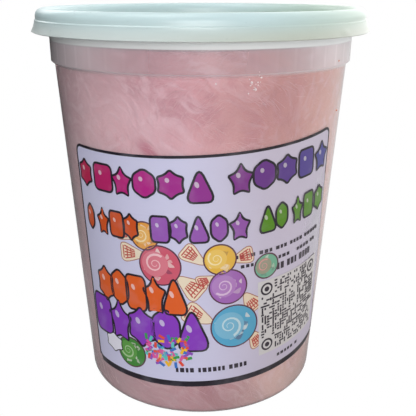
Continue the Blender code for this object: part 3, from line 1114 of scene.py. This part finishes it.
# Lighter and bluer on the left, darker and warmer on the right: painted light and shade by side.
painted_side_shade = print_finish.mixed(print_finish.ramped(print_finish.axis(flat, "X"), 0.35, 0.75),
                          (1.0, 1.03, 1.07), (0.86, 0.80, 0.76))
worn_and_side_shaded = print_finish.node("ShaderNodeMix", {"data_type": "RGBA", "blend_type": "MULTIPLY"}, {
    0: 1.0, 6: worn_and_side_shaded, 7: painted_side_shade}, 2)
up_sheet = print_finish.axis(flat, "Y")
folds = print_finish.ramped(abs(up_sheet - 0.765), 0.0, 0.006, 1.0, 0.0)
folds = folds + print_finish.ramped(abs(up_sheet - 0.69), 0.0, 0.005, 1.0, 0.0)
waves = print_finish.noise(print_finish.stretched(place, (1.0, 1.0, 0.45)), 34.0, 2.0)
label_print = print_finish.finish(print_finish.node("ShaderNodeBsdfPrincipled", None, {
    "Base Color": worn_and_side_shaded, "Roughness": 0.34 + grain * 0.14, "IOR": 1.45,
    "Normal": print_finish.bump(waves + folds * 0.15 + grain * 0.01, 0.0006, 0.35)}))
dress(sheet, label_print, "label")
for layer_piece in printed:
    dress(layer_piece, label_print)

# %% [markdown]
# ## Specks
#
# A few crumbs of hard sugar stick to the inside of the wall: white ones near the front, and two
# orange ones on the right. One crumb is modelled and copied.

# %% Crumbs
crumb_places = [  # turn in degrees, height, size, kind
    (17.0, 119.4, 0.42, 0), (18.6, 117.2, 0.50, 0), (20.4, 120.6, 0.36, 0), (16.0, 116.0, 0.30, 0),
    (5.0, 119.2, 0.34, 0), (57.0, 123.4, 0.40, 1), (66.0, 106.0, 0.36, 1)]
chance = Random(8)
crumb_places += [(chance.gauss(18.5, 1.3), chance.gauss(118.4, 1.6), chance.uniform(0.16, 0.30), 0)
                 for _ in range(12)]
crumbs = [[], []]
deselect()
bpy.ops.mesh.primitive_ico_sphere_add(subdivisions=2, radius=1.0, location=(0.0, 0.0, 0.0))
crumb = bpy.context.object
pick_points(crumb, lambda point: point.x > 0.3)
bpy.ops.transform.resize(value=(0.7, 1.1, 0.8), center_override=(0.0, 0.0, 0.0))
bpy.ops.object.mode_set(mode="OBJECT")
for turn, height, size, kind in crumb_places:
    made = crumb.copy()
    made.data = crumb.data.copy()
    bpy.context.scene.collection.objects.link(made)
    radius = wall_radius(height) - inset
    spot = Vector((radius * sin(radians(turn)), -radius * cos(radians(turn)), height)) * MM
    made.data.transform(
        Matrix.Translation(spot) @ Matrix.Rotation(turn, 4, "Y") @ Matrix.Scale(size * MM, 4))
    crumbs[kind].append(made)
bpy.data.objects.remove(crumb)
for kind, (name, low, high) in enumerate([("sugar_crumbs", linear(250, 240, 240), linear(236, 214, 218)),
                                          ("orange_crumbs", linear(226, 130, 60), linear(200, 96, 40))]):
    piece = put_together(crumbs[kind], name)
    bpy.ops.object.shade_smooth()
    hard = new_finish(name)
    mottle = hard.noise(hard.place(), 2000.0, 2.0)
    dress(piece, hard.finish(hard.node("ShaderNodeBsdfPrincipled", None, {
        "Base Color": hard.mixed(mottle, low, high), "Roughness": 0.3})))

# %% [markdown]
# ## The studio
#
# The tub stands on a white table in soft light. A broad lamp in front lights the candy, one above
# lights the lid, and two dim ones keep the right side and the back from going black. The table is
# bright on the right and dim on the left, which gives the clear wall a pale edge and a dark one.

# %% Floor
deselect()
bpy.ops.mesh.primitive_plane_add(size=6.0, location=(0.0, 0.0, -0.00005))
floor = bpy.context.object
floor.name = "floor"
table = new_finish("white_table")
seen = table.node("ShaderNodeLightPath", output="Is Camera Ray")
shade = table.ramped(table.axis(table.place(), "X"), -0.25, 0.25, 0.08, 0.60)
matt = table.node("ShaderNodeBsdfDiffuse", None, {
    "Color": table.mixed(shade, (0.0, 0.0, 0.0), (1.0, 1.0, 1.0))})
light = table.node("ShaderNodeEmission", None, {"Color": (1.0, 1.0, 1.0), "Strength": 0.72})
lit = table.ramped(table.axis(table.place(), "X"), 0.045, 0.10, 0.0, 0.8)
matt = table.node("ShaderNodeMixShader", None, {0: lit, 1: matt, 2: light})
glow = table.node("ShaderNodeEmission", None, {"Color": (1.0, 1.0, 1.0), "Strength": 1.0})
white_table = table.finish(table.node("ShaderNodeMixShader", None, {0: seen, 1: matt, 2: glow}))
floor.data.materials.append(white_table)

# %% Sky of the studio
world = bpy.data.worlds.new("studio")
bpy.context.scene.world = world
sky = Finish(world, "ShaderNodeOutputWorld")
direction = sky.node("ShaderNodeTexCoord", output="Generated")
to_right = sky.axis(direction, "X") * 0.65 + sky.axis(direction, "Y") * 0.75
brightness = 0.04 + sky.ramped(to_right, 0.3, 0.95) * 2.4
room = sky.node("ShaderNodeBackground", None, {"Color": (1.0, 1.0, 1.0), "Strength": brightness})
white = sky.node("ShaderNodeBackground", None, {"Color": (1.0, 1.0, 1.0), "Strength": 1.0})
seen = sky.node("ShaderNodeLightPath", output="Is Camera Ray")
sky.finish(sky.node("ShaderNodeMixShader", None, {0: seen, 1: room, 2: white}))
print("the room is bright behind on the right, and dim elsewhere")


# %% Lamps
def soft_lamp(name, place, width, height, power):
    """A broad lamp that faces the middle of the tub."""
    lamp = bpy.data.lights.new(name, "AREA")
    lamp.shape = "RECTANGLE"
    lamp.size, lamp.size_y, lamp.energy = width, height, power
    made = bpy.data.objects.new(name, lamp)
    made.location = place
    made.rotation_euler = (Vector((0.0, 0.0, 0.07)) - Vector(place)).to_track_quat("-Z", "Y").to_euler()
    bpy.context.scene.collection.objects.link(made)
    print(name, "is", power, "W")


soft_lamp("front_lamp", (-0.04, -1.15, 0.26), 0.66, 0.42, 8.6)
soft_lamp("right_lamp", (1.10, 0.30, 0.30), 0.7, 0.7, 0.5)
soft_lamp("top_lamp", (-0.26, -0.06, 0.95), 0.6, 0.6, 4.8)
soft_lamp("back_lamp", (-0.62, 0.95, 0.70), 0.6, 0.6, 3.0)
bpy.context.scene.view_settings.view_transform = "Standard"

# %% [markdown]
# ## The end
#

# %% Finish
print("the scene is built")
